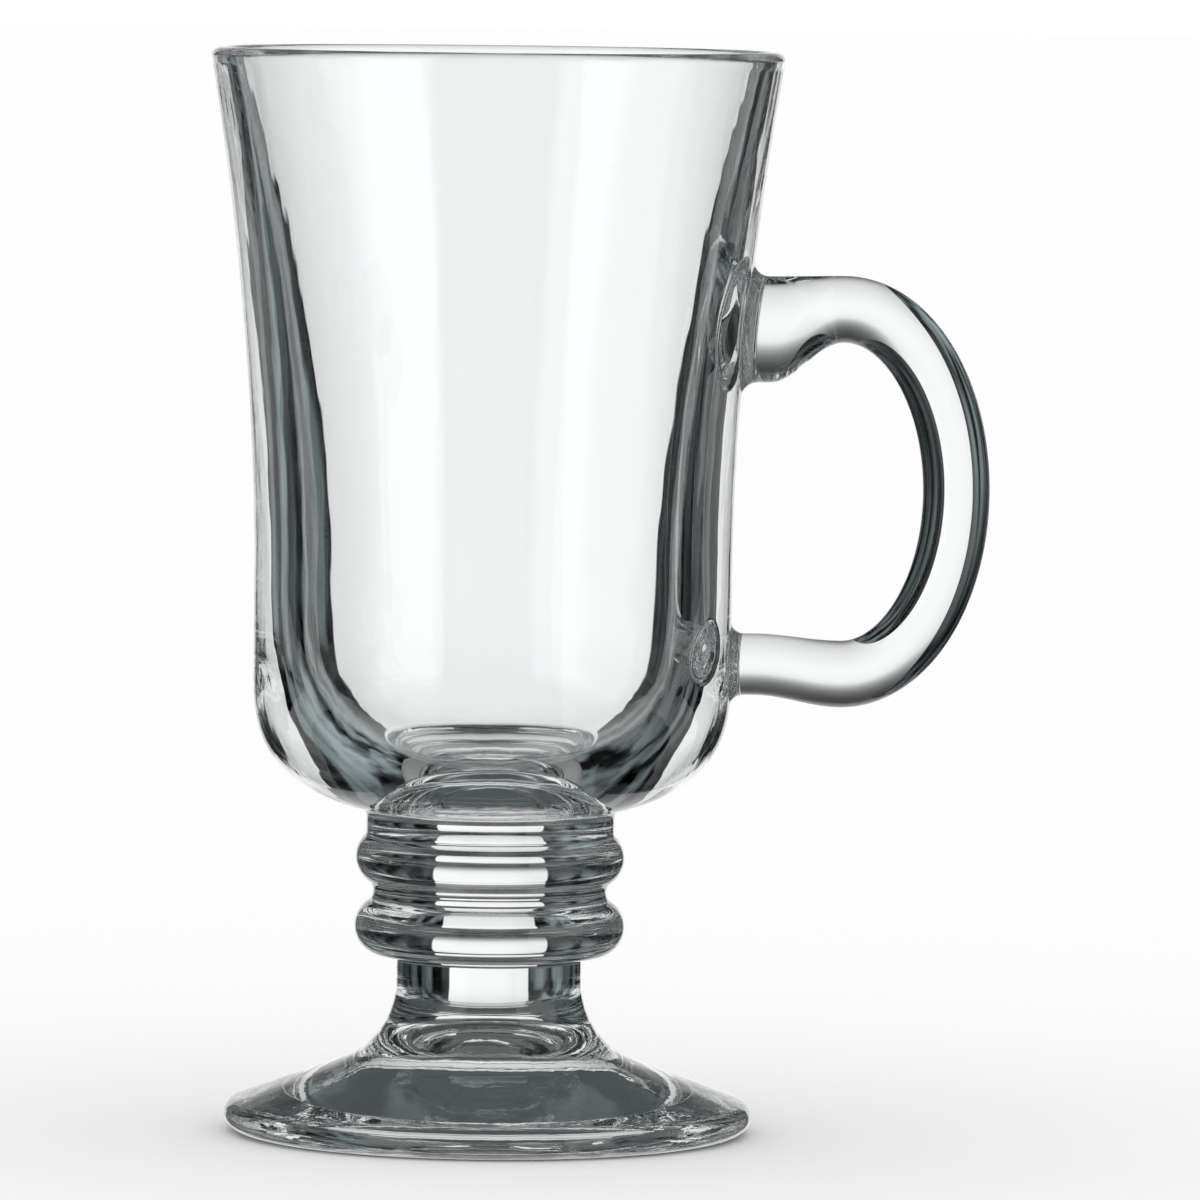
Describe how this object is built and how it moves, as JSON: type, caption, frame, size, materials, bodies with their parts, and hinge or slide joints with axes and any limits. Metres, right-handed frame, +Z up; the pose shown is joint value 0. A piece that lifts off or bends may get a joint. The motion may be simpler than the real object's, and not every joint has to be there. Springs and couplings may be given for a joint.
{
  "type": "irish coffee mug",
  "caption": "Footed clear glass mug with a flared round bowl, a ringed solid stem, a domed foot and an ear-shaped side handle.",
  "frame": {"origin": "centre of the foot's flat ring, on the table", "axes": "+Z up along the mug's axis, +X from the axis towards the handle"},
  "size_m": [0.1052, 0.077, 0.1459],
  "materials": {
    "clear_glass": "clear pressed soda glass, fire-polished"
  },
  "bodies": {
    "root": {"bowl": "clear_glass", "upper_stem_ring": "clear_glass", "lower_stem_ring": "clear_glass", "stem": "clear_glass", "foot": "clear_glass", "handle": "clear_glass", "upper_handle_pad": "clear_glass", "lower_handle_pad": "clear_glass"}
  },
  "joints": []
}
